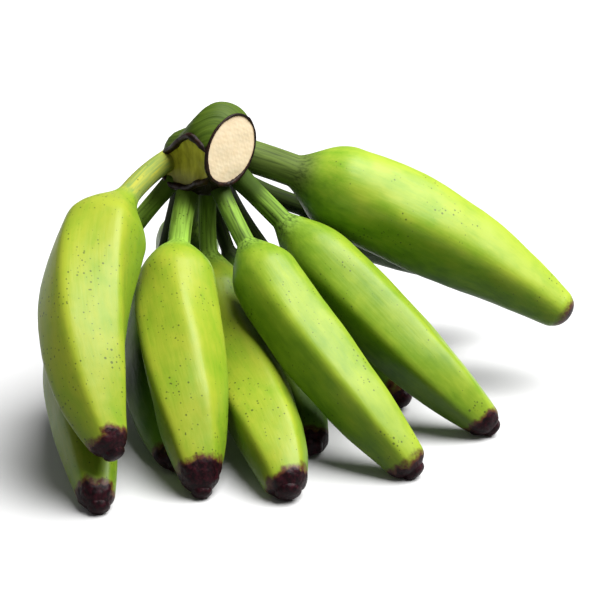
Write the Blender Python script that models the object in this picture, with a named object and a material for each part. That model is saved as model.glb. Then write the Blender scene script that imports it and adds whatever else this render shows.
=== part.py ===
"""A hand of green plantains, standing on its finger tips with its crown up.

The hand is one crown, cut from the stem of the bunch, and twelve fingers that grow from
its sides and underside in two rows. Each finger is a slim stalk, a rounded shoulder, a
body with five soft ridges and a blunt tip. Nine tips touch the table, three are in the air.

Sizes here are in millimetres, and a mesh is made in metres. +Z is up, and the origin is
on the table, under the middle of the hand.
"""

from dataclasses import dataclass

import bmesh
import bpy
import numpy as np

MM = 0.001
HAND = "plantain_hand"

# The table point under the middle of the crown, from which the places below are measured.
FOOT = np.array([-62.0, 28.0, 0.0])

# Fingers
RIDGES = 5
SIDES_PER_RIDGE = 3
RIDGE_STRENGTH = 0.75
RIDGE_RISE = 0.3
RIDGE_FADE = 0.6
RIDGE_FADE_START = 0.8
BELLY_PLACE = 0.36
BELLY_START = 0.94
TAPER_END = 0.97
SHOULDER_LEAD = 8.0
CAP_LENGTH = 9.0
CAP_REACH = 0.46
ROOT_FLARE = 0.1
ROOT_FLARE_LENGTH = 14.0
LINE_POINTS = 300
STALK_RINGS = 4
SHOULDER_RINGS = 5
BODY_RINGS = 7
CAP_RINGS = 4

# Crown
FACE_CENTRE = np.array([12.5, -20.5, 151.3])
FACE_TURN = np.radians(-47.0)
FACE_ROLL = np.radians(35.0)
ROLL_LENGTH = 14.0
CROWN_SIDES = 20
SCAR_NORMAL = np.array([-0.74, -0.66, -0.12])
SCAR_POINT = np.array([-11.0, -21.0, 150.5])

# Touching pieces keep this gap.
GAP = 0.3

# A cut treats points this close to its plane as on it, in metres.
CUT_NEARNESS = 1e-7
SHARP_ANGLE = np.radians(50.0)


@dataclass(frozen=True)
class Finger:
    """One fruit: four places on its middle line, and its thicknesses, in mm.

    The places are x to the right, y to the back and z up, measured from FOOT. A ridge stands
    at turn degrees from its upper side, and winds by twist from shoulder to tip. The shoulder
    rises over shoulder_length, sooner where steepness is lower.
    """

    name: str
    root: tuple
    shoulder: tuple
    middle: tuple
    tip: tuple
    girth: float
    stalk: float = 10.0
    blunt: float = 19.0
    shoulder_length: float = 30.0
    steepness: float = 0.7
    taper: float = 2.1
    turn: float = 20.0
    twist: float = 0.0


@dataclass(frozen=True)
class CrownSection:
    """One oval across the crown, in mm, at a distance behind the cut face."""

    back: float
    half_width: float
    half_height: float
    height: float


FINGERS = (
    Finger("finger_upper_right", (1, 5, 147), (55, 9.5, 127.5), (139, 8.5, 87.5), (213, -6, 44),
           girth=56.5, stalk=19.5, blunt=22.5, shoulder_length=32, steepness=0.8, taper=1.6, turn=0),
    Finger("finger_front_5", (14.5, -8, 133.5), (46.5, -15.5, 102), (98, -51.5, 59), (163.5, -80, 2),
           girth=41, stalk=12.5, blunt=18, shoulder_length=38, steepness=0.65, turn=12),
    Finger("finger_front_4", (3, -9.5, 131), (24.5, -47, 98), (63.5, -99, 56), (116, -138, 1),
           girth=40.5, stalk=11, blunt=20, shoulder_length=28, turn=48),
    Finger("finger_front_3", (-0.5, -1.5, 131), (-1, -8, 78), (21.5, -82.5, 36), (46.5, -171, 4),
           girth=42.5, stalk=10.5, blunt=22, shoulder_length=32, steepness=0.65, taper=2.9, turn=84, twist=-40),
    Finger("finger_front_2", (-12, -1, 126), (-17.5, -46, 95.5), (-11.5, -107.5, 56), (0.5, -165.5, 1),
           girth=45.5, stalk=13, blunt=17, shoulder_length=28, steepness=0.6, taper=2.35, turn=80, twist=-45),
    Finger("finger_upper_left", (-17, 12.5, 140.5), (-46.5, -43, 129), (-62.5, -132, 82.5), (-42.5, -183, 31.5),
           girth=49, stalk=13, blunt=18.5, shoulder_length=44, steepness=1.1, taper=2.4, turn=52, twist=-64),
    Finger("finger_front_1", (-20.5, 2, 128), (-61, -24, 77.5), (-67.5, -101, 41), (-52, -185, 2),
           girth=43, stalk=10.4, blunt=18, shoulder_length=32, taper=1.85),
    Finger("finger_inner_1", (-16, 9, 128.5), (-31, 17, 66), (-29, -80, 24), (-13, -136, 4.5),
           girth=36, blunt=17),
    Finger("finger_inner_2", (-1.5, 9.5, 128), (11, 24.5, 69), (43, -41, 25.5), (59, -116, 6.2),
           girth=33, stalk=8.5, blunt=17),
    Finger("finger_inner_3", (6.5, 2, 128), (35, 38, 65.5), (75, 0, 30), (115, -47, 5.5),
           girth=35, stalk=8.5, blunt=17),
    Finger("finger_rear_1", (-9, 17, 131.5), (-15.5, 50, 85), (-22, 90, 44), (-25, 128, 1),
           girth=38, stalk=11),
    Finger("finger_rear_2", (-3.5, 13.5, 139.5), (60, 51, 93), (115, 66, 72), (182, 74, 38),
           girth=44, stalk=11.5),
)

CROWN_SECTIONS = (
    CrownSection(0, 17.2, 21, 151.3),
    CrownSection(6, 19.3, 24.5, 151.5),
    CrownSection(13, 20.5, 27, 149.5),
    CrownSection(23, 20.5, 24.5, 144),
    CrownSection(33, 19, 20.5, 139),
    CrownSection(41, 17, 18.5, 137),
    CrownSection(48, 12, 14.5, 136.5),
    CrownSection(52.5, 6, 7.5, 136.5),
)

RIND_GREEN = (0.36, 0.55, 0.06, 1.0)
CROWN_GREEN = (0.14, 0.23, 0.03, 1.0)


def clear_scene():
    """Takes every object out of the scene."""
    for item in list(bpy.data.objects):
        bpy.data.objects.remove(item, do_unlink=True)


def make_collection(name):
    """A collection in the scene."""
    made = bpy.data.collections.new(name)
    bpy.context.scene.collection.children.link(made)
    return made


def make_material(name, colour, roughness):
    """A plain Principled material."""
    material = bpy.data.materials.new(name)
    material.use_nodes = True
    shader = material.node_tree.nodes["Principled BSDF"]
    shader.inputs["Base Color"].default_value = colour
    shader.inputs["Roughness"].default_value = roughness
    shader.inputs["Metallic"].default_value = 0.0
    return material


def ease(x):
    """A smooth step from 0 to 1."""
    x = np.clip(x, 0.0, 1.0)
    return x * x * (3.0 - 2.0 * x)


def middle_line(finger):
    """Points on the cubic through a finger's four places, their distance along it, and
    the length of the stalk."""
    places = np.array([finger.root, finger.shoulder, finger.middle, finger.tip], float) + FOOT
    knots = np.concatenate([[0.0], np.cumsum(np.linalg.norm(np.diff(places, axis=0), axis=1))])
    knots /= knots[-1]
    weights = np.linalg.solve(np.vander(knots, 4), places)
    t = np.linspace(0.0, 1.0, LINE_POINTS)
    line = np.vander(t, 4) @ weights
    run = np.concatenate([[0.0], np.cumsum(np.linalg.norm(np.diff(line, axis=0), axis=1))])
    return line, run, np.interp(knots[1], t, run)


def ring_places(length, stalk, finger):
    """Distances along the finger at which it has a ring of points."""
    shoulder_end = stalk - SHOULDER_LEAD + finger.shoulder_length
    cap_start = length - CAP_LENGTH
    # The cap's rings draw together towards its end, as on a ball.
    cap = length - CAP_LENGTH * (1.0 - np.sin(np.linspace(0.0, CAP_REACH, CAP_RINGS) * np.pi))
    return np.concatenate([
        np.linspace(0.0, stalk - SHOULDER_LEAD, STALK_RINGS, endpoint=False),
        np.linspace(stalk - SHOULDER_LEAD, shoulder_end, SHOULDER_RINGS, endpoint=False),
        np.linspace(shoulder_end, cap_start, BODY_RINGS, endpoint=False),
        cap,
    ])


def radius_along(run, length, stalk, finger):
    """A finger's radius at each distance: a flared stalk, a shoulder that rises in a soft
    step, a belly that tapers to the blunt tip, and a ball-shaped cap."""
    neck, widest, blunt = finger.stalk / 2, finger.girth / 2, finger.blunt / 2
    body = np.clip((run - stalk) / (length - stalk), 0.0, 1.0)
    late = np.clip((body - BELLY_PLACE) / (TAPER_END - BELLY_PLACE), 0.0, 1.0)
    belly = blunt + (widest - blunt) * (1.0 - late ** finger.taper)
    belly *= BELLY_START + (1.0 - BELLY_START) * ease(body / BELLY_PLACE)
    rise = np.clip((run - stalk + SHOULDER_LEAD) / finger.shoulder_length, 0.0, 1.0)
    radius = neck + (belly - neck) * ease(rise ** finger.steepness)
    flare = 1.0 + ROOT_FLARE * (1.0 - ease(run / ROOT_FLARE_LENGTH))
    cap = np.clip((length - run) / CAP_LENGTH, 0.0, 1.0)
    return radius * flare * np.sqrt(1.0 - (1.0 - cap) ** 2)


def finger_rings(finger):
    """The finger's surface as an array of rings of points, in mm."""
    line, run, stalk = middle_line(finger)
    length = run[-1]
    places = ring_places(length, stalk, finger)
    centre = np.stack([np.interp(places, run, line[:, k]) for k in range(3)], axis=-1)
    slope = np.gradient(line, run, axis=0)
    tangent = np.stack([np.interp(places, run, slope[:, k]) for k in range(3)], axis=-1)
    tangent /= np.linalg.norm(tangent, axis=1, keepdims=True)
    chord = line[-1] - line[0]
    side = np.cross(chord, [0.0, 0.0, 1.0])
    side /= np.linalg.norm(side)
    up = np.cross(side, tangent)
    up /= np.linalg.norm(up, axis=1, keepdims=True)
    across = np.cross(tangent, up)

    # A soft polygon: the radius is largest on the ridges, and round on stalk and tip.
    angle = np.linspace(0.0, 2.0 * np.pi, RIDGES * SIDES_PER_RIDGE, endpoint=False)
    wedge = 2.0 * np.pi / RIDGES
    polygon = np.cos(wedge / 2) / np.cos(wedge / 2 - np.abs(np.mod(angle + wedge / 2, wedge) - wedge / 2))
    polygon = polygon / polygon.mean() - 1.0
    body = np.clip((places - stalk) / (length - stalk), 0.0, 1.0)
    fade = 1.0 - RIDGE_FADE * ease((body - RIDGE_FADE_START) / (1.0 - RIDGE_FADE_START))
    strength = RIDGE_STRENGTH * ease(body / RIDGE_RISE) * fade
    spread = 1.0 + strength[:, None] * polygon[None, :]

    radius = radius_along(places, length, stalk, finger)[:, None] * spread
    turned = angle[None, :] + np.radians(finger.turn + finger.twist * body)[:, None]
    outward = (np.cos(turned)[..., None] * up[:, None, :]
               + np.sin(turned)[..., None] * across[:, None, :])
    return centre[:, None, :] + radius[..., None] * outward


def crown_rings(swell=0.0):
    """The crown's surface as rings of points from the cut face backwards, in mm."""
    outward = np.array([np.cos(FACE_TURN), np.sin(FACE_TURN), 0.0])
    across = np.array([-outward[1], outward[0], 0.0])
    up = np.array([0.0, 0.0, 1.0])
    angle = np.linspace(0.0, 2.0 * np.pi, CROWN_SIDES, endpoint=False)
    rings = []
    for section in CROWN_SECTIONS:
        reach = {CROWN_SECTIONS[0]: -swell, CROWN_SECTIONS[-1]: swell}.get(section, 0.0)
        centre = FACE_CENTRE + FOOT - outward * (section.back + reach)
        centre[2] = section.height
        roll = FACE_ROLL * (1.0 - ease(section.back / ROLL_LENGTH))
        wide = across * np.cos(roll) - up * np.sin(roll)
        tall = across * np.sin(roll) + up * np.cos(roll)
        rings.append(centre
                     + np.cos(angle)[:, None] * wide * (section.half_width + swell)
                     + np.sin(angle)[:, None] * tall * (section.half_height + swell))
    return np.array(rings)


def loft_mesh(name, rings):
    """A closed mesh through rings of points in mm, with a flat face on each end."""
    count, sides = rings.shape[:2]
    points = (rings.reshape(-1, 3) * MM).tolist()
    first = np.arange(sides)
    after = np.roll(first, -1)
    faces = [first[::-1].tolist(), (first + (count - 1) * sides).tolist()]
    for ring in range(count - 1):
        low, high = ring * sides, (ring + 1) * sides
        faces += np.stack([low + first, low + after, high + after], axis=-1).tolist()
        faces += np.stack([low + first, high + after, high + first], axis=-1).tolist()
    mesh = bpy.data.meshes.new(name)
    mesh.from_pydata(points, [], faces)
    shaped = bmesh.new()
    shaped.from_mesh(mesh)
    bmesh.ops.recalc_face_normals(shaped, faces=shaped.faces)
    shaped.to_mesh(mesh)
    shaped.free()
    return mesh


def slice_mesh(mesh, point, normal):
    """Cuts away the part of a mesh beyond a plane, in mm, and closes the cut."""
    shaped = bmesh.new()
    shaped.from_mesh(mesh)
    everything = list(shaped.verts) + list(shaped.edges) + list(shaped.faces)
    cut = bmesh.ops.bisect_plane(shaped, geom=everything, plane_co=np.asarray(point) * MM,
                                 plane_no=normal, clear_outer=True, dist=CUT_NEARNESS)
    rim = [item for item in cut["geom_cut"] if isinstance(item, bmesh.types.BMEdge)]
    if rim:
        bmesh.ops.contextual_create(shaped, geom=rim)
    bmesh.ops.recalc_face_normals(shaped, faces=shaped.faces)
    shaped.to_mesh(mesh)
    shaped.free()


def add_object(name, mesh, material, collection):
    """A smooth-shaded object with one material."""
    mesh.materials.append(material)
    mesh.shade_smooth()
    mesh.set_sharp_from_angle(angle=SHARP_ANGLE)
    made = bpy.data.objects.new(name, mesh)
    collection.objects.link(made)
    return made


def build_crown(name, material, collection, swell=0.0):
    """The crown: a short thick piece of stem, cut flat at its front right, with a flat
    scar on its front left."""
    mesh = loft_mesh(name, crown_rings(swell))
    normal = SCAR_NORMAL / np.linalg.norm(SCAR_NORMAL)
    slice_mesh(mesh, SCAR_POINT + FOOT + normal * swell, normal)
    return add_object(name, mesh, material, collection)


def build_finger(finger, crown_room, material, collection):
    """One finger, flat where its tip meets the table, and cut to the crown's surface."""
    mesh = loft_mesh(finger.name, finger_rings(finger))
    slice_mesh(mesh, (0.0, 0.0, 0.0), (0.0, 0.0, -1.0))
    made = add_object(finger.name, mesh, material, collection)
    cut = made.modifiers.new("crown_room", "BOOLEAN")
    cut.operation = "DIFFERENCE"
    cut.solver = "EXACT"
    cut.object = crown_room
    return made


def main():
    """Builds the hand."""
    clear_scene()
    hand = make_collection(HAND)
    cutters = make_collection("cutters")
    rind = make_material("plantain_rind", RIND_GREEN, 0.45)
    stem = make_material("crown_stem", CROWN_GREEN, 0.55)

    build_crown("crown", stem, hand)
    crown_room = build_crown("crown_room", stem, cutters, swell=GAP)
    crown_room.hide_render = True
    crown_room.display_type = "WIRE"
    for finger in FINGERS:
        build_finger(finger, crown_room, rind, hand)


main()
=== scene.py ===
"""A hand of green plantains on a pale floor, lit by soft studio light.

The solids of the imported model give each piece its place. Here every one of them gets a
finer surface: waxy ridged peels with specks and dark, rough flower ends, and a crown with
a fresh cream cut, an older healed cut and corky rims. Sizes are in millimetres, as on the
solids, and a mesh is made in metres.
"""

import logging
from dataclasses import dataclass
from enum import Enum
from typing import ClassVar

import bpy
import numpy as np
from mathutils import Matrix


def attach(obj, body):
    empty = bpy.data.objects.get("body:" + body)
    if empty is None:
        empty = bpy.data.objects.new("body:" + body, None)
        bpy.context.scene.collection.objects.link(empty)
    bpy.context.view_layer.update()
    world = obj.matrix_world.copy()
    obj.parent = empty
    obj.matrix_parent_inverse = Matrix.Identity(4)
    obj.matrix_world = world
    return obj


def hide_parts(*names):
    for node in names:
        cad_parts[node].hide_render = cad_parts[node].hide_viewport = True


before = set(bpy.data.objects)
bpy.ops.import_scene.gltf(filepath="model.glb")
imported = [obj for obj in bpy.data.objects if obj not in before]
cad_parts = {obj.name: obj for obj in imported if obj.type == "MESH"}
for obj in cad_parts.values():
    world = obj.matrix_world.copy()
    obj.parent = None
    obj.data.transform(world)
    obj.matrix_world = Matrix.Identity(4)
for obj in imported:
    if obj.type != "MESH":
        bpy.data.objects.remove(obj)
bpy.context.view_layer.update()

MM = 0.001
TURN = 2.0 * np.pi
BODY = "root"
UP = np.array([0.0, 0.0, 1.0])

# The floor point under the middle of the crown, from which places are measured.
FOOT = np.array([-62.0, 28.0, 0.0])

LOG = logging.getLogger("plantain_hand")


class TipForm(Enum):
    """How the flower end of a finger looks."""

    STUB = "a dark blunt stub that ends in a smaller nub"
    EDGED = "a green round end with a thin dark edge"


class Ridging(Enum):
    """How keen the ridges are: the power that rounds the corners of the section."""

    SOFT = 6.0
    PLAIN = 9.5
    KEEN = 12.0


def ease(x: np.ndarray) -> np.ndarray:
    """A smooth step from 0 to 1: 3x² − 2x³ between 0 and 1."""
    x = np.clip(x, 0.0, 1.0)
    return x * x * (3.0 - 2.0 * x)


def unit(vectors: np.ndarray) -> np.ndarray:
    """The vectors, each divided by its length."""
    return vectors / np.linalg.norm(vectors, axis=-1, keepdims=True)


def flow(knots: np.ndarray, values: np.ndarray, at: np.ndarray) -> np.ndarray:
    """Values on a smooth curve through the knots.

    Between two knots it is a cubic whose slope at each knot is that of the neighbours.

    Args:
        knots: Rising places.
        values: The value at each knot.
        at: Places to read.

    Returns:
        The value at each place.
    """
    slope = np.gradient(values, knots)
    cell = np.clip(np.searchsorted(knots, at) - 1, 0, len(knots) - 2)
    width = knots[cell + 1] - knots[cell]
    t = np.clip((at - knots[cell]) / width, 0.0, 1.0)
    return ((1 + 2 * t) * (1 - t) ** 2 * values[cell]
            + t * (1 - t) ** 2 * width * slope[cell]
            + t ** 2 * (3 - 2 * t) * values[cell + 1]
            + t ** 2 * (t - 1) * width * slope[cell + 1])


def ripple(points: np.ndarray, size: float, seed: int, waves: int = 9) -> np.ndarray:
    """A smooth random field, mostly between −1 and 1.

    It is the sum of sine waves that run in random directions with wavelengths near size.

    Args:
        points: Places in mm, with x, y and z on the last axis.
        size: The typical wavelength in mm.
        seed: Picks the directions and phases.
        waves: How many waves are added.

    Returns:
        One value for each place.
    """
    draw = np.random.default_rng(seed)
    heading = unit(draw.normal(size=(waves, 3)))
    pace = TURN / (size * draw.uniform(0.7, 1.4, waves))
    phase = draw.uniform(0.0, TURN, waves)
    return np.sin(points @ (heading * pace[:, None]).T + phase).sum(axis=-1) / np.sqrt(waves)


def skin_mesh(name: str, rings: np.ndarray, looped: bool = False) -> bpy.types.Mesh:
    """A closed skin through rings of points.

    Quads join ring to ring. An open run of rings is closed by a fan to the middle of its
    first ring and of its last, and a looped one joins its last ring to its first.

    Args:
        name: The mesh's name.
        rings: Points in mm, as rings × sides × 3, turning right-handed along the run.
        looped: True where the run of rings closes on itself.

    Returns:
        The mesh, in metres, shaded smooth.
    """
    count, sides = rings.shape[:2]
    here = np.arange(sides)
    after = np.roll(here, -1)
    low = (np.arange(count if looped else count - 1) * sides)[:, None]
    high = (low + sides) % (count * sides)
    quads = np.stack([low + here, low + after, high + after, high + here], axis=-1).reshape(-1, 4)
    points = rings.reshape(-1, 3)
    faces = quads.tolist()
    if not looped:
        root, end, last = count * sides, count * sides + 1, (count - 1) * sides
        poles = [rings[0].mean(axis=0)[None], rings[-1].mean(axis=0)[None]]
        points = np.concatenate([points, *poles])
        faces += np.stack([after, here, np.full(sides, root)], axis=-1).tolist()
        faces += np.stack([last + here, last + after, np.full(sides, end)], axis=-1).tolist()
    mesh = bpy.data.meshes.new(name)
    mesh.from_pydata((points * MM).tolist(), [], faces)
    mesh.shade_smooth()
    return mesh


def add_marks(mesh: bpy.types.Mesh, name: str, values: np.ndarray) -> None:
    """Gives a skin's points a vector attribute, the poles the mean of their ring.

    Args:
        mesh: A mesh from skin_mesh.
        name: The attribute's name.
        values: rings × sides × 3 values.
    """
    flat = values.reshape(-1, 3)
    if len(mesh.vertices) > len(flat):
        poles = [values[0].mean(axis=0)[None], values[-1].mean(axis=0)[None]]
        flat = np.concatenate([flat, *poles])
    layer = mesh.attributes.new(name, "FLOAT_VECTOR", "POINT")
    layer.data.foreach_set("vector", flat.astype(np.float32).ravel())


def place_piece(name: str, mesh: bpy.types.Mesh, material: bpy.types.Material,
                slot: str, *nodes: str) -> bpy.types.Object:
    """Puts a mesh in the scene as a piece that rides on the frame.

    Args:
        name: The piece's name.
        mesh: Its mesh, already in place.
        material: Its finish.
        slot: The record's material slot; not used.
        nodes: The solids that it stands for.

    Returns:
        The piece.
    """
    mesh.materials.append(material)
    piece = bpy.data.objects.new(name, mesh)
    bpy.context.scene.collection.objects.link(piece)
    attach(piece, BODY)
    if nodes:
        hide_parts(*nodes)
    LOG.info("%s: %d faces", name, len(mesh.polygons))
    return piece


def linear(code: str) -> tuple[float, float, float, float]:
    """A colour from an sRGB hex code, turned to linear.

    Args:
        code: The code, as #RRGGBB.

    Returns:
        Red, green and blue in linear light, and full alpha.
    """
    levels = np.array([int(code[k:k + 2], 16) for k in (1, 3, 5)]) / 255.0
    levels = np.where(levels <= 0.04045, levels / 12.92, ((levels + 0.055) / 1.055) ** 2.4)
    return (*(float(x) for x in levels), 1.0)


def per(size: float) -> float:
    """The texture scale that makes features of this size, in mm."""
    return 1000.0 / size


def add_node(tree: bpy.types.NodeTree, kind: str, values: dict | None = None,
             links: dict | None = None, ramp: tuple = (), **settings) -> bpy.types.Node:
    """Adds one node to a material.

    Args:
        tree: The material's node tree.
        kind: The node's type name.
        values: Socket to plain value.
        links: Socket to the output that feeds it.
        ramp: Stops of a colour ramp, as (place, colour).
        settings: The node's own options.

    Returns:
        The node.
    """
    node = tree.nodes.new(kind)
    for name, value in settings.items():
        setattr(node, name, value)
    for socket, value in (values or {}).items():
        node.inputs[socket].default_value = value
    for socket, source in (links or {}).items():
        tree.links.new(source, node.inputs[socket])
    for index, (place, colour) in enumerate(ramp):
        stops = node.color_ramp.elements
        stop = stops[index] if index < len(stops) else stops.new(place)
        stop.position = place
        stop.color = colour
    return node


def new_material(name: str) -> tuple[bpy.types.Material, bpy.types.NodeTree, bpy.types.Node]:
    """A material with only its Principled shader and output.

    Args:
        name: The material's name.

    Returns:
        The material, its node tree and its Principled shader.
    """
    material = bpy.data.materials.new(name)
    material.use_nodes = True
    tree = material.node_tree
    return material, tree, tree.nodes["Principled BSDF"]


@dataclass(frozen=True)
class PeelFinish:
    """Waxy peel of an unripe plantain, as grown.

    To the eye: a satin green with long faint fibres, small dark specks, a dull grey-green
    stalk, and a maroon, corky flower end with a rusty edge. Light and shade are painted on
    it as well: it is painted yellower on the side towards the key light and darker on the
    side away from it. The specks are thicker where speck_share is higher, from 0 to 1.
    """

    name: str
    yellow_green_and_painted_lit: str = "#8C9828"
    plain: str = "#728E1E"
    deep_green_and_painted_shade: str = "#436A14"
    stalk: str = "#769838"
    root: str = "#3A4E1A"
    speck: str = "#3A4416"
    rust: str = "#4A2818"
    cork: str = "#341018"
    cork_deep: str = "#100508"
    speck_share: float = 0.5
    roughness: float = 0.33

    def material(self) -> bpy.types.Material:
        """The finish as a material, made once.

        It reads three attributes of the skin. peel_place is the place on the straightened
        finger, peel_sides holds the painted light and shade with the yellower flower end, the
        ridges and the stalk, and peel_ends the cork, its rusty edge and the root.

        Returns:
            The material.
        """
        made = bpy.data.materials.get(self.name)
        if made:
            return made
        made, tree, shader = new_material(self.name)
        place, sides, ends = (
            add_node(tree, "ShaderNodeAttribute", attribute_name=name).outputs["Vector"]
            for name in ("peel_place", "peel_sides", "peel_ends"))
        painted_light_and_tip_tone, ridge, stalk = add_node(tree, "ShaderNodeSeparateXYZ", links={0: sides}).outputs
        cork, blush, root = add_node(tree, "ShaderNodeSeparateXYZ", links={0: ends}).outputs

        # Clouds 24 mm wide and mottles 6 mm wide shift the green, and fibres 1.4 mm wide
        # run along the finger. A real fibre is finer, and is drawn as coarse as it shows.
        cloud = add_node(tree, "ShaderNodeTexNoise", {"Scale": per(24), "Detail": 3.0},
                         {"Vector": place})
        drawn = add_node(tree, "ShaderNodeMapping", {"Scale": (1.0, 1.0, 0.06)}, {"Vector": place})
        fibre = add_node(tree, "ShaderNodeTexNoise", {"Scale": per(1.4), "Detail": 3.0},
                         {"Vector": drawn.outputs[0]})
        tone = add_node(tree, "ShaderNodeMath", {1: 0.8, 2: -0.4}, {0: cloud.outputs["Fac"]},
                        operation="MULTIPLY_ADD")
        # Painted light and shade: this mark lifts the tone on the side towards the key light and
        # lowers it away from it; it also holds the yellower flower end.
        tone = add_node(tree, "ShaderNodeMath", links={0: tone.outputs[0], 1: painted_light_and_tip_tone},
                        operation="ADD")
        long = add_node(tree, "ShaderNodeMapping", {"Scale": (1.0, 1.0, 0.4)}, {"Vector": place})
        mottle = add_node(tree, "ShaderNodeTexNoise",
                          {"Scale": per(6), "Detail": 4.0, "Roughness": 0.6},
                          {"Vector": long.outputs[0]})
        mottle = add_node(tree, "ShaderNodeMath", {1: 0.7, 2: -0.35}, {0: mottle.outputs["Fac"]},
                          operation="MULTIPLY_ADD")
        tone = add_node(tree, "ShaderNodeMath",
                        links={0: tone.outputs[0], 1: mottle.outputs[0]}, operation="ADD")
        tone = add_node(tree, "ShaderNodeMath", {1: 0.12}, {0: ridge, 2: tone.outputs[0]},
                        operation="MULTIPLY_ADD")
        tone = add_node(tree, "ShaderNodeMath", {1: 0.22},
                        {0: fibre.outputs["Fac"], 2: tone.outputs[0]}, operation="MULTIPLY_ADD")
        # From dark to light green: the dark and light stops serve both the random tone and the
        # painted shade and painted light.
        peel = add_node(tree, "ShaderNodeValToRGB", links={0: tone.outputs[0]},
                        ramp=((0.12, linear(self.deep_green_and_painted_shade)), (0.55, linear(self.plain)),
                              (0.98, linear(self.yellow_green_and_painted_lit))))

        # The stalk: duller, with darker lines along it.
        lined = add_node(tree, "ShaderNodeValToRGB", links={0: fibre.outputs["Fac"]},
                         ramp=((0.3, linear(self.root)), (0.62, linear(self.stalk))))
        colour = add_node(tree, "ShaderNodeMix",
                          links={0: stalk, 6: peel.outputs[0], 7: lined.outputs[0]},
                          data_type="RGBA")
        colour = add_node(tree, "ShaderNodeMix", {7: linear(self.root)},
                          {0: root, 6: colour.outputs[2]}, data_type="RGBA")

        # Specks under 1 mm, of many sizes, thick in some patches and thin in others.
        cell = add_node(tree, "ShaderNodeTexVoronoi", {"Scale": per(2.1)}, {"Vector": place})
        draw = add_node(tree, "ShaderNodeSeparateXYZ", links={0: cell.outputs["Color"]}).outputs
        patch = add_node(tree, "ShaderNodeTexNoise", {"Scale": per(22), "Detail": 2.0},
                         {"Vector": place})
        reach = add_node(tree, "ShaderNodeMapRange",
                         {1: 0.52 - 0.3 * self.speck_share, 2: 0.7, 3: 0.08, 4: 0.4},
                         {0: patch.outputs["Fac"]})
        reach = add_node(tree, "ShaderNodeMath", links={0: reach.outputs[0], 1: draw[0]},
                         operation="MULTIPLY")
        speck = add_node(tree, "ShaderNodeMath",
                         links={0: reach.outputs[0], 1: cell.outputs["Distance"]},
                         operation="SUBTRACT")
        speck = add_node(tree, "ShaderNodeMapRange", {1: 0.0, 2: 0.06, 3: 0.0, 4: 0.75},
                         {0: speck.outputs[0]})
        colour = add_node(tree, "ShaderNodeMix", {7: linear(self.speck)},
                          {0: speck.outputs[0], 6: colour.outputs[2]}, data_type="RGBA")

        # The rusty edge above the flower end, and its cork.
        grit = add_node(tree, "ShaderNodeTexNoise",
                        {"Scale": per(2.4), "Detail": 5.0, "Roughness": 0.65}, {"Vector": place})
        edge = add_node(tree, "ShaderNodeMath", {1: 1.1}, {0: blush, 2: grit.outputs["Fac"]},
                        operation="MULTIPLY_ADD")
        edge = add_node(tree, "ShaderNodeMapRange", {1: 0.95, 2: 1.55}, {0: edge.outputs[0]})
        colour = add_node(tree, "ShaderNodeMix", {7: linear(self.rust)},
                          {0: edge.outputs[0], 6: colour.outputs[2]}, data_type="RGBA")
        bark = add_node(tree, "ShaderNodeValToRGB", links={0: grit.outputs["Fac"]},
                        ramp=((0.42, linear(self.cork_deep)), (0.72, linear(self.cork))))
        torn = add_node(tree, "ShaderNodeMath", {1: 1.3}, {0: cork, 2: grit.outputs["Fac"]},
                        operation="MULTIPLY_ADD")
        torn = add_node(tree, "ShaderNodeMapRange", {1: 0.85, 2: 1.35}, {0: torn.outputs[0]})
        colour = add_node(tree, "ShaderNodeMix",
                          links={0: torn.outputs[0], 6: colour.outputs[2], 7: bark.outputs[0]},
                          data_type="RGBA")
        tree.links.new(colour.outputs[2], shader.inputs["Base Color"])

        # Wax is satin on the peel, and the stalk and the cork are dull.
        dull = add_node(tree, "ShaderNodeMapRange", {3: self.roughness, 4: 0.55}, {0: stalk})
        dull = add_node(tree, "ShaderNodeMath", {1: 0.16},
                        {0: fibre.outputs["Fac"], 2: dull.outputs[0]}, operation="MULTIPLY_ADD")
        tree.links.new(dull.outputs[0], shader.inputs["Roughness"])

        relief = add_node(tree, "ShaderNodeBump", {"Strength": 0.25, "Distance": 0.0003},
                          {"Height": fibre.outputs["Fac"]})
        rough = add_node(tree, "ShaderNodeMath", links={0: grit.outputs["Fac"], 1: cork},
                         operation="MULTIPLY")
        relief = add_node(tree, "ShaderNodeBump", {"Strength": 0.6, "Distance": 0.0006},
                          {"Height": rough.outputs[0], "Normal": relief.outputs[0]})
        tree.links.new(relief.outputs[0], shader.inputs["Normal"])
        matt = add_node(tree, "ShaderNodeMath", links={0: stalk, 1: cork}, operation="MAXIMUM")
        sheen = add_node(tree, "ShaderNodeMapRange", {3: 0.22, 4: 0.09}, {0: matt.outputs[0]})
        tree.links.new(sheen.outputs[0], shader.inputs["Specular IOR Level"])
        return made


# Painted light: this peel's stalk and root are lighter than the others' to stand for light on the
# stalks of the front fingers.
PEEL_PAINTED_LIT_STALK = PeelFinish("plantain_peel_painted_lit_stalk", stalk="#86AC3E", root="#50681F", speck_share=0.8)
PEEL_GREEN = PeelFinish("plantain_peel_green", yellow_green_and_painted_lit="#8A9E2A", plain="#6A891C", deep_green_and_painted_shade="#3E6410")
PEEL_DEEP = PeelFinish("plantain_peel_deep", yellow_green_and_painted_lit="#93A630", plain="#70941E", deep_green_and_painted_shade="#386010",
                       stalk="#5E7032", root="#3A481E", speck_share=0.15, roughness=0.34)
# Painted shade: a darker copy of the peel, with near-black stalk and root, for the fingers that
# stand in the shade inside and behind the hand.
PEEL_PAINTED_SHADE = PeelFinish("plantain_peel_painted_shade", yellow_green_and_painted_lit="#64802A", plain="#486A1C",
                        deep_green_and_painted_shade="#28480E", stalk="#2C3A14", root="#141C0A")
PEEL_YELLOW_ROOT = PeelFinish("plantain_peel_yellow_root", deep_green_and_painted_shade="#5E8220", stalk="#6E8340",
                              root="#9A9A38", speck_share=0.9)


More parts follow.
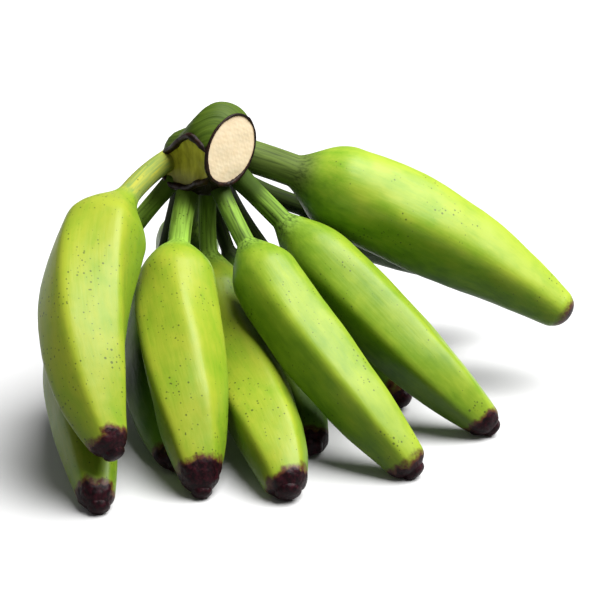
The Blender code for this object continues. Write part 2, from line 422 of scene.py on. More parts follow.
@dataclass(frozen=True)
class Finger:
    """One fruit: a slim stalk, a shoulder, a ridged body and its flower end.

    The four places on its middle line are x to the right, y to the back and z up, in mm
    from FOOT. The other sizes are thicknesses and lengths in mm: girth at the belly, stalk
    at the neck, blunt before the flower end, and cork_length for the cork there. The
    shoulder rises sooner where steepness is lower, and the belly tapers later where taper
    is higher. A ridge stands at turn degrees from the upper side and winds by twist from
    shoulder to tip, and relief is the share of the ridging that shows. Light and shade are
    painted on the peel: it is painted yellower towards the key light, most of all at the
    given degrees from the upper side, and darker away from it, as strongly as its weight
    says. The grain is picked by seed.
    """

    name: str
    root: tuple
    shoulder: tuple
    middle: tuple
    tip: tuple
    girth: float
    stalk: float = 10.0
    blunt: float = 19.0
    shoulder_length: float = 30.0
    steepness: float = 0.7
    taper: float = 2.1
    turn: float = 20.0
    twist: float = 0.0
    ridging: Ridging = Ridging.PLAIN
    relief: float = 0.75
    tip_form: TipForm = TipForm.STUB
    finish: PeelFinish = PEEL_GREEN
    painted_light_and_tip_tone: float = 0.5
    painted_light_side: float = 10.0
    cork_length: float = 10.5
    seed: int = 1

    RIDGES: ClassVar[int] = 5
    SIDES: ClassVar[int] = 120
    # Rings on the stalk, the shoulder, the body and the flower end.
    RINGS: ClassVar[tuple] = (30, 36, 70, 60)
    BELLY_PLACE: ClassVar[float] = 0.36
    BELLY_START: ClassVar[float] = 0.94
    TAPER_END: ClassVar[float] = 0.97
    SHOULDER_LEAD: ClassVar[float] = 8.0
    ROOT_FLARE: ClassVar[float] = 0.12
    ROOT_FLARE_LENGTH: ClassVar[float] = 18.0
    END_LENGTH: ClassVar[float] = 16.0
    CAP: ClassVar[float] = 9.0
    STUB: ClassVar[float] = 8.0
    NUB: ClassVar[float] = 5.0
    NUB_SHARE: ClassVar[float] = 0.66

    def middle_line(self) -> tuple[np.ndarray, np.ndarray, float]:
        """The cubic through the four places.

        Returns:
            Points on it, their distance along it, and the length of the stalk.
        """
        places = np.array([self.root, self.shoulder, self.middle, self.tip], float) + FOOT
        steps = np.linalg.norm(np.diff(places, axis=0), axis=1)
        knots = np.concatenate([[0.0], np.cumsum(steps)]) / steps.sum()
        t = np.linspace(0.0, 1.0, 400)
        line = np.vander(t, 4) @ np.linalg.solve(np.vander(knots, 4), places)
        run = np.concatenate([[0.0], np.cumsum(np.linalg.norm(np.diff(line, axis=0), axis=1))])
        return line, run, float(np.interp(knots[1], t, run))

    def radius_along(self, run: np.ndarray, length: float, stalk: float) -> np.ndarray:
        """The radius at each distance along the finger.

        The shoulder rises in a soft step, 3x² − 2x³ of a power of the distance along it. The
        belly tapers by a power of the distance to the flower end, and the end steps down to
        a small nub with a round face.

        Args:
            run: Distances along the middle line.
            length: Its whole length.
            stalk: The length of the stalk.

        Returns:
            The mean radius of the section at each distance.
        """
        neck, widest, blunt = self.stalk / 2, self.girth / 2, self.blunt / 2
        body = np.clip((run - stalk) / (length - stalk), 0.0, 1.0)
        late = np.clip((body - self.BELLY_PLACE) / (self.TAPER_END - self.BELLY_PLACE), 0.0, 1.0)
        belly = blunt + (widest - blunt) * (1.0 - late ** self.taper)
        belly *= self.BELLY_START + (1.0 - self.BELLY_START) * ease(body / self.BELLY_PLACE)
        rise = np.clip((run - stalk + self.SHOULDER_LEAD) / self.shoulder_length, 0.0, 1.0)
        radius = neck + (belly - neck) * ease(rise ** self.steepness)
        left = length - run
        if self.tip_form is TipForm.EDGED:
            return radius * np.sqrt(1.0 - (1.0 - np.clip(left / self.CAP, 0.0, 1.0)) ** 2)
        before_stub = 1.0 - np.clip((left - 0.55 * self.NUB) / self.STUB, 0.0, 1.0)
        before_nub = 1.0 - np.clip(left / self.NUB, 0.0, 1.0)
        stub = np.sqrt(1.0 - before_stub ** 2.4)
        return radius * np.maximum(stub, self.NUB_SHARE * np.sqrt(1.0 - before_nub ** 3))

    def section(self, angle: np.ndarray, run: np.ndarray, body: np.ndarray) -> np.ndarray:
        """How far the surface stands out at each angle, as a share of the mean radius.

        It is the power mean of five flat sides, 1 / (sum of cos(angle − side)^p)^(1/p), where
        a higher power p makes keener ridges. It is round on the stalk and at the flower end.

        Args:
            angle: Angles round the finger, as a row.
            run: Distances along it, as a column.
            body: The same, from 0 at the shoulder to 1 at the tip.

        Returns:
            The share, as rings × sides.
        """
        draw = np.random.default_rng(self.seed)
        faces = (np.arange(self.RIDGES) + 0.5) * TURN / self.RIDGES
        faces = faces + np.radians(draw.uniform(-6.0, 6.0, self.RIDGES))
        sway = np.radians(4.0) * np.sin(run / 38.0 + draw.uniform(0.0, TURN))
        power = (self.ridging.value * (0.6 + 0.4 * ease(body / 0.5)))[..., None]
        reach = np.cos((angle + sway)[..., None] - faces)
        share = (np.clip(reach, 0.0, 1.0) ** power).sum(axis=-1) ** (-1.0 / power[..., 0])
        share = share / share.mean(axis=1, keepdims=True) - 1.0
        strength = self.relief * ease(body / 0.3) * (1.0 - 0.6 * ease((body - 0.8) / 0.2))
        return strength * share

    def ring_places(self, length: float, stalk: float) -> np.ndarray:
        """Where the rings stand: evenly on each stretch, and closer towards the very tip.

        Args:
            length: The middle line's whole length.
            stalk: The length of the stalk.

        Returns:
            Rising distances along the middle line.
        """
        shoulder_start = stalk - self.SHOULDER_LEAD
        shoulder_end = shoulder_start + self.shoulder_length
        on_stalk, on_shoulder, on_body, on_end = self.RINGS
        closing = np.sin(np.linspace(0.0, 0.495, on_end) * np.pi)
        return np.concatenate([
            np.linspace(0.0, shoulder_start, on_stalk, endpoint=False),
            np.linspace(shoulder_start, shoulder_end, on_shoulder, endpoint=False),
            np.linspace(shoulder_end, length - self.END_LENGTH, on_body, endpoint=False),
            length - self.END_LENGTH * (1.0 - closing),
        ])

    def surface(self) -> tuple[np.ndarray, dict[str, np.ndarray]]:
        """The finger's skin.

        A ring of points stands round each place on the middle line, at the section's share of
        the radius there, with low lumps over it and rough cork on the flower end.

        Returns:
            Rings of points in mm, and the marks that the finish reads.
        """
        line, run, stalk = self.middle_line()
        length = run[-1]
        places = self.ring_places(length, stalk)
        centre = np.stack([np.interp(places, run, line[:, k]) for k in range(3)], axis=-1)
        slope = np.gradient(line, run, axis=0)
        tangent = unit(np.stack([np.interp(places, run, slope[:, k]) for k in range(3)], axis=-1))
        side = unit(np.cross(line[-1] - line[0], UP))
        above = unit(np.cross(side, tangent))
        across = np.cross(tangent, above)

        angle = np.linspace(0.0, TURN, self.SIDES, endpoint=False)[None, :]
        run_here = places[:, None]
        body = np.clip((run_here - stalk) / (length - stalk), 0.0, 1.0)
        left = length - run_here
        share = self.section(angle, run_here, body)
        radius = self.radius_along(places, length, stalk)[:, None] * (1.0 + share)
        straight = np.stack([radius * np.cos(angle), radius * np.sin(angle),
                             np.broadcast_to(run_here, radius.shape)], axis=-1)

        # The cork begins at an uneven line across the flower end, lower on one side.
        wander = (1.5 * ripple(straight, 11.0, self.seed + 50)
                  + 0.7 * ripple(straight, 4.0, self.seed + 60))
        wander = (wander + 2.4 * np.cos(angle - self.seed)) * min(self.cork_length / 9.0, 1.0)
        cork = ease((self.cork_length + wander - left) / 4.0 + 0.5)
        blush = 1.0 - ease((left - self.cork_length - wander) / 8.0)

        # Low lumps on the body, grit on the cork, and six faint flutes along the stalk.
        lumps = (0.32 * ripple(straight, 36.0, self.seed + 10)
                 + 0.04 * ripple(straight, 9.0, self.seed + 20))
        radius = radius + lumps * ease(body / 0.1) * ease(left / 12.0)
        grit = (0.22 * ripple(straight, 6.0, self.seed + 30)
                + 0.06 * ripple(straight, 2.0, self.seed + 40))
        radius = radius + cork * grit * ease(left / 2.5)
        flute = 0.012 * np.sin(6.0 * angle + self.seed) * (1.0 - ease(body / 0.08))
        flare = 1.0 + self.ROOT_FLARE * (1.0 - ease(run_here / self.ROOT_FLARE_LENGTH))
        radius = radius * (1.0 + flute) * flare

        turned = angle + np.radians(self.turn + self.twist * body)
        outward = (np.cos(turned)[..., None] * above[:, None, :]
                   + np.sin(turned)[..., None] * across[:, None, :])
        points = centre[:, None, :] + radius[..., None] * outward
        points[..., 2] = np.maximum(points[..., 2], 0.0)

        # Painted light and shade: the peel is painted yellower on the side towards the key light
        # and darker away from it. It is also yellower towards the flower end, as the fruit is.
        towards_light = 0.5 + 0.5 * np.cos(turned - np.radians(self.painted_light_side))
        painted_light_and_tip_tone = (self.painted_light_and_tip_tone * (0.15 + 1.15 * towards_light) * (0.75 + 0.25 * ease(body / 0.2))
               + 0.15 * ease(1.0 - left / 28.0))
        ridge = ease(share * 12.0)
        dull = np.broadcast_to(1.0 - ease((run_here - stalk + 5.0) / 13.0), radius.shape)
        root = np.broadcast_to(1.0 - ease((run_here - 14.0) / 12.0), radius.shape)
        marks = {
            "peel_place": straight * MM + self.seed,
            "peel_sides": np.stack([painted_light_and_tip_tone, ridge, dull], axis=-1),
            "peel_ends": np.stack([cork, blush, root], axis=-1),
        }
        return points, marks

    def build(self) -> bpy.types.Object:
        """Makes the peel, dressed and in place of its solid.

        Returns:
            The piece.
        """
        rings, marks = self.surface()
        mesh = skin_mesh(f"peel_{self.name}", rings)
        for name, values in marks.items():
            add_marks(mesh, name, values)
        return place_piece(f"peel_{self.name}", mesh, self.finish.material(), "rind",
                           f"finger_{self.name}")


FINGERS = (
    Finger("upper_right", (1, 5, 147), (55, 9.5, 127.5), (139, 8.5, 87.5), (213, -6, 44),
           girth=56.5, stalk=19.5, blunt=22.5, shoulder_length=32, steepness=0.8, taper=1.6, turn=0,
           ridging=Ridging.SOFT, relief=0.6, tip_form=TipForm.EDGED, cork_length=1.8,
           finish=PEEL_DEEP, painted_light_and_tip_tone=0.6, seed=1),
    Finger("front_5", (14.5, -8, 133.5), (46.5, -15.5, 102), (98, -51.5, 59), (163.5, -80, 2),
           girth=41, stalk=12.5, blunt=18, shoulder_length=38, steepness=0.65, turn=12, seed=2),
    Finger("front_4", (3, -9.5, 131), (24.5, -47, 98), (63.5, -99, 56), (116, -138, 1),
           girth=40.5, stalk=11, blunt=20, shoulder_length=28, turn=48, seed=3),
    Finger("front_3", (-0.5, -1.5, 131), (-1, -8, 78), (21.5, -82.5, 36), (46.5, -171, 4),
           girth=42.5, stalk=10.5, blunt=22, shoulder_length=32, steepness=0.65, taper=2.9,
           turn=84, twist=-40, finish=PEEL_PAINTED_LIT_STALK, cork_length=8, seed=4),
    Finger("front_2", (-12, -1, 126), (-17.5, -46, 95.5), (-11.5, -107.5, 56), (0.5, -165.5, 1),
           girth=45.5, stalk=13, blunt=17, shoulder_length=28, steepness=0.6, taper=2.35,
           turn=80, twist=-45, finish=PEEL_PAINTED_LIT_STALK, painted_light_and_tip_tone=0.58, cork_length=15, seed=5),
    Finger("upper_left", (-17, 12.5, 140.5), (-46.5, -43, 129), (-62.5, -132, 82.5),
           (-42.5, -183, 31.5), girth=49, stalk=13, blunt=18.5, shoulder_length=44,
           steepness=1.1, taper=2.4, turn=52, twist=-64, finish=PEEL_YELLOW_ROOT,
           ridging=Ridging.KEEN, painted_light_and_tip_tone=0.6, cork_length=9, seed=6),
    Finger("front_1", (-20.5, 2, 128), (-61, -24, 77.5), (-67.5, -101, 41), (-52, -185, 2),
           girth=43, stalk=10.4, blunt=18, shoulder_length=32, taper=1.85,
           finish=PEEL_PAINTED_LIT_STALK, seed=7),
    Finger("inner_1", (-16, 9, 128.5), (-31, 17, 66), (-29, -80, 24), (-13, -136, 4.5),
           girth=36, blunt=17, finish=PEEL_PAINTED_SHADE, seed=8),
    Finger("inner_2", (-1.5, 9.5, 128), (11, 24.5, 69), (43, -41, 25.5), (59, -116, 6.2),
           girth=33, stalk=8.5, blunt=17, finish=PEEL_PAINTED_SHADE, seed=9),
    Finger("inner_3", (6.5, 2, 128), (35, 38, 65.5), (75, 0, 30), (115, -47, 5.5),
           girth=35, stalk=8.5, blunt=17, finish=PEEL_PAINTED_SHADE, seed=10),
    Finger("rear_1", (-9, 17, 131.5), (-15.5, 50, 85), (-22, 90, 44), (-25, 128, 1),
           girth=38, stalk=11, seed=11),
    Finger("rear_2", (-3.5, 13.5, 139.5), (60, 51, 93), (115, 66, 72), (182, 74, 38),
           girth=44, stalk=11.5, finish=PEEL_PAINTED_SHADE, seed=12),
)


@dataclass(frozen=True)
class StemFinish:
    """Skin of the crown, a thick piece of green stem, as grown.

    To the eye: a dull green with fibres along it, browner next to the cuts. Its lower side is
    painted near black, as painted shade.
    """

    name: str = "stem_skin"
    green: str = "#485C18"
    olive: str = "#384C10"
    dark: str = "#140E08"

    def material(self) -> bpy.types.Material:
        """The finish as a material.

        Returns:
            The material.
        """
        made, tree, shader = new_material(self.name)
        marks, place = (
            add_node(tree, "ShaderNodeAttribute", attribute_name=name).outputs["Vector"]
            for name in ("stem_marks", "stem_place"))
        painted_shade_under, edge, _ = add_node(tree, "ShaderNodeSeparateXYZ", links={0: marks}).outputs
        drawn = add_node(tree, "ShaderNodeMapping", {"Scale": (1.0, 1.0, 0.10)}, {"Vector": place})
        fibre = add_node(tree, "ShaderNodeTexNoise", {"Scale": per(1.8), "Detail": 4.0},
                         {"Vector": drawn.outputs[0]})
        colour = add_node(tree, "ShaderNodeValToRGB", links={0: fibre.outputs["Fac"]},
                          ramp=((0.34, linear(self.olive)), (0.6, linear(self.green))))
        blotch = add_node(tree, "ShaderNodeTexNoise", {"Scale": per(7), "Detail": 4.0},
                          {"Vector": place})
        # Blotches, the browner skin next to the cuts and the painted shade on the lower side all
        # darken the green.
        shade = add_node(tree, "ShaderNodeMath", {1: 0.8, 2: -0.4}, {0: blotch.outputs["Fac"]},
                         operation="MULTIPLY_ADD")
        for darker in (painted_shade_under, edge):
            shade = add_node(tree, "ShaderNodeMath", links={0: shade.outputs[0], 1: darker},
                             operation="ADD")
        shade = add_node(tree, "ShaderNodeMapRange", {1: 0.35, 2: 0.9}, {0: shade.outputs[0]})
        colour = add_node(tree, "ShaderNodeMix", {7: linear(self.dark)},
                          {0: shade.outputs[0], 6: colour.outputs[0]}, data_type="RGBA")
        tree.links.new(colour.outputs[2], shader.inputs["Base Color"])
        shader.inputs["Roughness"].default_value = 0.5
        shader.inputs["Specular IOR Level"].default_value = 0.1
        relief = add_node(tree, "ShaderNodeBump", {"Strength": 0.5, "Distance": 0.0006},
                          {"Height": fibre.outputs["Fac"]})
        tree.links.new(relief.outputs[0], shader.inputs["Normal"])
        return made


@dataclass(frozen=True)
class FleshFinish:
    """A cut through the stem, as a knife leaves it, fresh or healed.

    To the eye: fresh, it is a moist cream with faint peach clouds and fibre ends. Healed, it
    is an olive brown with darker streaks. The clouds are drawn out by streak, and contrast
    gives where in their noise the dark ends and the light begins.
    """

    name: str
    light: str
    dark: str
    edge: str
    streak: tuple
    contrast: tuple
    roughness: float

    def material(self) -> bpy.types.Material:
        """The finish as a material.

        Returns:
            The material.
        """
        made, tree, shader = new_material(self.name)
        marks, place = (
            add_node(tree, "ShaderNodeAttribute", attribute_name=name).outputs["Vector"]
            for name in ("cut_marks", "cut_place"))
        rim, low, _ = add_node(tree, "ShaderNodeSeparateXYZ", links={0: marks}).outputs
        drawn = add_node(tree, "ShaderNodeMapping", {"Scale": self.streak}, {"Vector": place})
        cloud = add_node(tree, "ShaderNodeTexNoise",
                         {"Scale": per(5), "Detail": 5.0, "Roughness": 0.6},
                         {"Vector": drawn.outputs[0]})
        colour = add_node(tree, "ShaderNodeValToRGB", links={0: cloud.outputs["Fac"]},
                          ramp=((self.contrast[0], linear(self.dark)),
                                (self.contrast[1], linear(self.light))))
        # Painted shade on the healed cut: its lower part is painted in the edge colour.
        colour = add_node(tree, "ShaderNodeMix", {7: linear(self.edge)},
                          {0: low, 6: colour.outputs[0]}, data_type="RGBA")
        colour = add_node(tree, "ShaderNodeMix", {7: linear(self.edge)},
                          {0: rim, 6: colour.outputs[2]}, data_type="RGBA")
        tree.links.new(colour.outputs[2], shader.inputs["Base Color"])
        pith = add_node(tree, "ShaderNodeTexNoise", {"Scale": per(0.9), "Detail": 2.0},
                        {"Vector": place})
        relief = add_node(tree, "ShaderNodeBump", {"Strength": 0.12, "Distance": 0.0003},
                          {"Height": pith.outputs["Fac"]})
        tree.links.new(relief.outputs[0], shader.inputs["Normal"])
        shader.inputs["Roughness"].default_value = self.roughness
        shader.inputs["Specular IOR Level"].default_value = 0.2
        return made


@dataclass(frozen=True)
class CorkFinish:
    """Dried sap and cork on an old cut, as it heals.

    To the eye: a rough, dark maroon brown with a few lighter crests.
    """

    name: str = "dried_cork"
    crest: str = "#32180C"
    hollow: str = "#120705"

    def material(self) -> bpy.types.Material:
        """The finish as a material.

        Returns:
            The material.
        """
        made = bpy.data.materials.get(self.name)
        if made:
            return made
        made, tree, shader = new_material(self.name)
        place = add_node(tree, "ShaderNodeTexCoord").outputs["Object"]
        grit = add_node(tree, "ShaderNodeTexNoise",
                        {"Scale": per(3.0), "Detail": 5.0, "Roughness": 0.6}, {"Vector": place})
        colour = add_node(tree, "ShaderNodeValToRGB", links={0: grit.outputs["Fac"]},
                          ramp=((0.42, linear(self.hollow)), (0.75, linear(self.crest))))
        tree.links.new(colour.outputs[0], shader.inputs["Base Color"])
        relief = add_node(tree, "ShaderNodeBump", {"Strength": 0.7, "Distance": 0.0008},
                          {"Height": grit.outputs["Fac"]})
        tree.links.new(relief.outputs[0], shader.inputs["Normal"])
        shader.inputs["Roughness"].default_value = 0.45
        shader.inputs["Specular IOR Level"].default_value = 0.15
        return made


FRESH_CUT = FleshFinish("fresh_stem_cut", light="#F2DEBE", dark="#EDD4B0", edge="#9A6A3C",
                        streak=(1.0, 1.0, 1.0), contrast=(0.25, 0.62), roughness=0.45)
HEALED_CUT = FleshFinish("healed_stem_cut", light="#E0D650", dark="#A0962C", edge="#140C06",
                         streak=(0.9, 0.9, 0.35), contrast=(0.3, 0.7), roughness=0.5)


@dataclass(frozen=True)
class Crown:
    """The short thick piece of stem that joins the fingers.

    It runs from a fresh cut at the front right, back and down to a round end among the
    stalks. An older cut faces the front left. Sizes in mm, angles in degrees.
    """

    face_centre: tuple = (12.5, -20.5, 151.3)
    face_turn: float = -47.0
    face_roll: float = 35.0
    roll_length: float = 14.0
    scar_normal: tuple = (-0.74, -0.66, -0.12)
    scar_point: tuple = (-11.0, -21.0, 150.5)
    scar_depth: float = 2.4
    # Behind the face, half width, half height, height over the floor.
    sections: tuple = ((0, 17.2, 21, 151.3), (6, 19.3, 24.5, 151.5), (13, 20.5, 27, 149.5),
                       (23, 20.5, 24.5, 144), (33, 19, 20.5, 139), (41, 17, 18.5, 137),
                       (48, 12, 14.5, 136.5), (52.5, 6, 7.5, 136.5))

    BEFORE_THE_CUT: ClassVar[float] = 9.0
    CORNER_WINDOW: ClassVar[int] = 23
    FACE_SIDES: ClassVar[int] = 200
    SKIN_SIDES: ClassVar[int] = 320
    DOME: ClassVar[float] = 6.0

    def axes(self) -> tuple[np.ndarray, np.ndarray]:
        """The fresh cut's own directions.

        Returns:
            The way that it faces, and the level direction along it.
        """
        turn = np.radians(self.face_turn)
        outward = np.array([np.cos(turn), np.sin(turn), 0.0])
        return outward, np.array([-outward[1], outward[0], 0.0])

    def shape_at(self, back: np.ndarray) -> tuple[np.ndarray, ...]:
        """The oval at each distance behind the cut.

        Args:
            back: Distances in mm.

        Returns:
            Its centre, its two half axes as unit vectors, and their lengths.
        """
        outward, across = self.axes()
        table = np.array(self.sections, float)
        wide, tall, height = (flow(table[:, 0], table[:, k], back) for k in (1, 2, 3))
        centre = np.array(self.face_centre) + FOOT - outward * back[..., None]
        centre[..., 2] = height
        roll = np.radians(self.face_roll) * (1.0 - ease(back / self.roll_length))
        first = across * np.cos(roll)[..., None] - UP * np.sin(roll)[..., None]
        second = across * np.sin(roll)[..., None] + UP * np.cos(roll)[..., None]
        return centre, first, second, wide, tall

    def oval_share(self, points: np.ndarray) -> np.ndarray:
        """Where points lie against the crown's skin, by its oval at their distance behind the cut.

        Args:
            points: Places in mm, with x, y and z on the last axis.

        Returns:
            Under 1 inside the skin, 1 on it, and BEFORE_THE_CUT in front of the fresh cut.
        """
        outward, _ = self.axes()
        back = -(points - np.array(self.face_centre) - FOOT) @ outward
        centre, first, second, wide, tall = self.shape_at(np.clip(back, 0.0, self.sections[-1][0]))
        offset = points - centre
        share = np.hypot((offset * first).sum(axis=-1) / wide,
                         (offset * second).sum(axis=-1) / tall)
        return np.where(back < 0.0, self.BEFORE_THE_CUT, share)

    def scar_frame(self) -> tuple[np.ndarray, np.ndarray, np.ndarray, np.ndarray]:
        """The older cut's own directions.

        Returns:
            A point in its plane, its normal, and two directions in it.
        """
        normal = unit(np.array(self.scar_normal))
        level = unit(np.cross(UP, normal))
        return np.array(self.scar_point) + FOOT, normal, level, np.cross(normal, level)

    def scar_outline(self, count: int = 220) -> np.ndarray:
        """The edge of the older cut.

        From a point in its plane, rays run out until they leave the crown. Their lengths are
        smoothed where they stand out, because the corner next to the fresh cut is worn round.

        Args:
            count: How many rays.

        Returns:
            One point for each ray, in mm.
        """
        middle, _, level, steep = self.scar_frame()
        angle = np.linspace(0.0, TURN, count, endpoint=False)
        heading = np.cos(angle)[:, None] * level + np.sin(angle)[:, None] * steep
        reach = np.linspace(0.0, 45.0, 900)
        rays = middle + heading[:, None, :] * reach[None, :, None]
        outside = self.oval_share(rays) > 1.0
        out = reach[outside.argmax(axis=1)]
        window = np.hanning(self.CORNER_WINDOW)
        around = np.pad(out, self.CORNER_WINDOW // 2, mode="wrap")
        out = np.minimum(out, np.convolve(around, window / window.sum(), "valid") + 0.4)
        return middle + heading * out[:, None]

    def build_skin(self) -> bpy.types.Object:
        """The green skin.

        Ovals follow the axis, with fibres as fine waves round them. What lies beyond the
        older cut's plane is pressed back behind it, as a recess for the healed flesh.

        Returns:
            The piece.
        """
        end = self.sections[-1][0] - 5.0
        closing = np.sin(np.linspace(0.02, 0.5, 40) * np.pi)
        back = np.concatenate([np.linspace(0.0, end, 150), end + self.DOME * closing])
        angle = np.linspace(0.0, TURN, self.SKIN_SIDES, endpoint=False)
        close = np.sqrt(1.0 - ease((back - end) / self.DOME) ** 2 * 0.999)
        centre, first, second, wide, tall = self.shape_at(np.clip(back, 0.0, self.sections[-1][0]))
        wide, tall = wide * close, tall * close
        fibre = (0.05 * np.sin(41 * angle + 1.0) + 0.04 * np.sin(67 * angle)
                 + 0.08 * np.sin(23 * angle + 2.0))
        swell = fibre[None, :] * ease(back / 6.0)[:, None] * close[:, None]
        ring = (centre[:, None, :]
                + (np.cos(angle) * (wide[:, None] + swell))[..., None] * first[:, None, :]
                + (np.sin(angle) * (tall[:, None] + swell))[..., None] * second[:, None, :])
        lumps = 0.5 * ripple(ring, 22.0, 5)[..., None]
        ring = ring + lumps * unit(ring - centre[:, None, :]) * close[:, None, None]
        middle, normal, _, _ = self.scar_frame()
        proud = (ring - middle) @ normal
        press = np.where(proud > 0.0, proud + self.scar_depth * ease(proud / 0.8), 0.0)
        ring = ring - (press * ease(back / 3.0)[:, None])[..., None] * normal
        # Painted shade: the lower side of the crown is painted dark.
        painted_shade_under = ease(-np.sin(angle) * 1.3 - 0.15)[None, :] * np.ones_like(proud)
        edge = 0.4 * (1.0 - ease(np.abs(proud) / 2.5)) + 0.35 * (1.0 - ease(back / 2.0))[:, None]
        mesh = skin_mesh("crown_skin", ring[::-1])
        place = np.stack([np.broadcast_to(x, proud.shape) for x in (
            24 * np.cos(angle), 24 * np.sin(angle), back[:, None])], axis=-1)
        add_marks(mesh, "stem_place", place[::-1] * MM)
        add_marks(mesh, "stem_marks", np.stack([painted_shade_under, edge, edge * 0.0], axis=-1)[::-1])
        return place_piece("crown_skin", mesh, StemFinish().material(), "crown_stem", "crown")

    def build_disc(self, name: str, outline: np.ndarray, normal: np.ndarray, bulge: float,
                   finish: FleshFinish) -> bpy.types.Object:
        """A cut face: a dome over an outline.

        From the middle to the outline the surface is bulge × (1 − share²) high, with fine
        grain, and it has a plain back 1.5 mm behind it.

        Args:
            name: The piece's name.
            outline: Points round the edge, in mm.
            normal: The way that the face looks.
            bulge: The dome's height in mm, negative for a dish.
            finish: The face's material.

        Returns:
            The piece.
        """
        middle = outline.mean(axis=0)
        share = np.sqrt(np.linspace(0.0004, 1.0, 70))
        front = middle + (outline - middle)[None] * share[:, None, None]
        grain = 0.03 * ripple(front, 3.0, 3) + 0.15 * ripple(front, 14.0, 4)
        height = bulge * (1.0 - share ** 2)[:, None] + grain
        front = front + height[..., None] * normal
        rings = np.concatenate([front, outline[None] - 1.5 * normal])
        if np.dot(np.cross(outline[0] - middle, outline[1] - middle), normal) < 0:
            rings = rings[:, ::-1]
        rings = rings[::-1]
        share = np.concatenate([share, [1.0]])[::-1]
        rim = np.broadcast_to(ease((share[:, None] - 0.90) / 0.10), rings.shape[:2])
        # Only a dish, the healed cut, is darker towards its lower edge: painted shade.
        low = np.clip((middle[2] - 8.0 - rings[..., 2]) / 16.0, 0.0, 1.0) * (bulge < 0)
        mesh = skin_mesh(name, rings)
        add_marks(mesh, "cut_place", rings * MM)
        add_marks(mesh, "cut_marks", np.stack([rim, low, low * 0.0], axis=-1))
        return place_piece(name, mesh, finish.material(), "crown_stem")

    def build_rim(self, name: str, path: np.ndarray, normal: np.ndarray, thick: np.ndarray,
                  seed: int) -> bpy.types.Object:
        """A corky rim: a lumpy round cord along a closed path.

        Args:
            name: The piece's name.
            path: Points of the closed path, in mm.
            normal: The normal of the plane that it lies near.
            thick: The cord's radius at each point.
            seed: Picks its lumps.

        Returns:
            The piece.
        """
        along = unit(np.roll(path, -1, axis=0) - np.roll(path, 1, axis=0))
        out = unit(np.cross(along, normal))
        angle = np.linspace(0.0, TURN, 24, endpoint=False)
        heading = (np.cos(angle)[None, :, None] * out[:, None, :]
                   - np.sin(angle)[None, :, None] * normal)
        rings = path[:, None, :] + thick[:, None, None] * heading
        lumps = 0.14 * ripple(rings, 9.0, seed) + 0.05 * ripple(rings, 2.5, seed + 1)
        rings = rings + (lumps * np.minimum(thick[:, None], 1.5))[..., None] * heading
        mesh = skin_mesh(name, rings, looped=True)
        return place_piece(name, mesh, CorkFinish().material(), "crown_stem")

    def build(self) -> None:
        """Makes the skin, both cuts and both rims."""
        self.build_skin()
        outward, _ = self.axes()
        angle = np.linspace(0.0, TURN, self.FACE_SIDES, endpoint=False)
        centre, first, second, wide, tall = (x[0] for x in self.shape_at(np.zeros(1)))
        face = (centre + np.cos(angle)[:, None] * first * wide
                + np.sin(angle)[:, None] * second * tall)
        self.build_disc("crown_fresh_cut", face + outward * 0.1, outward, 0.7, FRESH_CUT)
        thick = 0.75 + 0.65 * ease(0.1 - 1.2 * np.sin(angle))
        self.build_rim("crown_fresh_rim", face, outward, thick, 21)

        middle, normal, _, _ = self.scar_frame()
        scar = self.scar_outline()
        self.build_disc("crown_healed_cut", scar - normal * 0.4, normal, -1.2, HEALED_CUT)
        # The healed rim thins out where it runs into the fresh one.
        near_face = ease(1.0 + ((scar - centre) @ outward) / 5.0)
        self.build_rim("crown_healed_rim", scar, normal, 2.0 - 1.5 * near_face, 31)


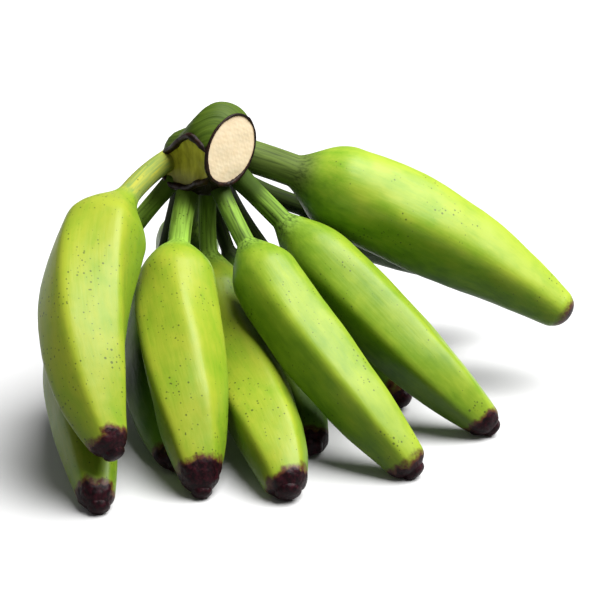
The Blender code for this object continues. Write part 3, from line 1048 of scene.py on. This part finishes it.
@dataclass(frozen=True)
class Studio:
    """The floor, the light and the camera. Lengths in metres, angles in degrees."""

    floor_size: float = 8.0
    floor_drop: float = 0.0002
    target: tuple = (-0.010, -0.034, 0.075)
    distance: float = 1.13
    elevation: float = 20.0
    lens: float = 120.0
    key_elevation: float = 64.0
    key_azimuth: float = 84.0
    key_spread: float = 54.0
    key_strength: float = 8.0
    sky_strength: float = 0.2

    def build_floor(self) -> None:
        """A plain pale floor just under the tips."""
        half = self.floor_size / 2
        mesh = bpy.data.meshes.new("floor")
        corners = [(x * half, y * half, -self.floor_drop)
                   for x, y in ((-1, -1), (1, -1), (1, 1), (-1, 1))]
        mesh.from_pydata(corners, [], [(0, 1, 2, 3)])
        made, _, shader = new_material("white_paper_floor")
        shader.inputs["Base Color"].default_value = linear("#C2C2C2")
        shader.inputs["Roughness"].default_value = 0.6
        shader.inputs["Specular IOR Level"].default_value = 0.2
        mesh.materials.append(made)
        floor = bpy.data.objects.new("floor", mesh)
        # As in the photograph, the floor throws hardly any light up at the hand.
        floor.visible_diffuse = False
        bpy.context.scene.collection.objects.link(floor)

    def build_lights(self) -> None:
        """A broad soft key light from above, front and right, and a pale sky all round."""
        data = bpy.data.lights.new("key_light", "SUN")
        data.energy = self.key_strength
        data.angle = np.radians(self.key_spread)
        lamp = bpy.data.objects.new("key_light", data)
        lamp.rotation_euler = (np.radians(90.0 - self.key_elevation), 0.0,
                               np.radians(self.key_azimuth))
        bpy.context.scene.collection.objects.link(lamp)
        world = bpy.data.worlds.new("pale_sky")
        world.use_nodes = True
        sky = world.node_tree.nodes["Background"]
        sky.inputs["Color"].default_value = linear("#FFFFFF")
        sky.inputs["Strength"].default_value = self.sky_strength
        bpy.context.scene.world = world

    def build_camera(self) -> None:
        """The camera at the photograph's place, looking a little down along +Y."""
        data = bpy.data.cameras.new("camera")
        data.lens = self.lens
        data.sensor_width = 36.0
        camera = bpy.data.objects.new("camera", data)
        slope = np.radians(self.elevation)
        offset = np.array([0.0, -np.cos(slope), np.sin(slope)]) * self.distance
        camera.location = tuple(np.array(self.target) + offset)
        camera.rotation_euler = (np.radians(90.0 - self.elevation), 0.0, 0.0)
        bpy.context.scene.collection.objects.link(camera)
        bpy.context.scene.camera = camera
        bpy.context.scene.view_settings.view_transform = "Standard"

    def build(self) -> None:
        """Sets the stage."""
        self.build_floor()
        self.build_lights()
        self.build_camera()


def main() -> None:
    """Builds the hand and its stage."""
    logging.basicConfig(level=logging.INFO, format="%(message)s")
    Studio().build()
    Crown().build()
    for finger in FINGERS:
        finger.build()


if __name__ == "__main__":
    main()
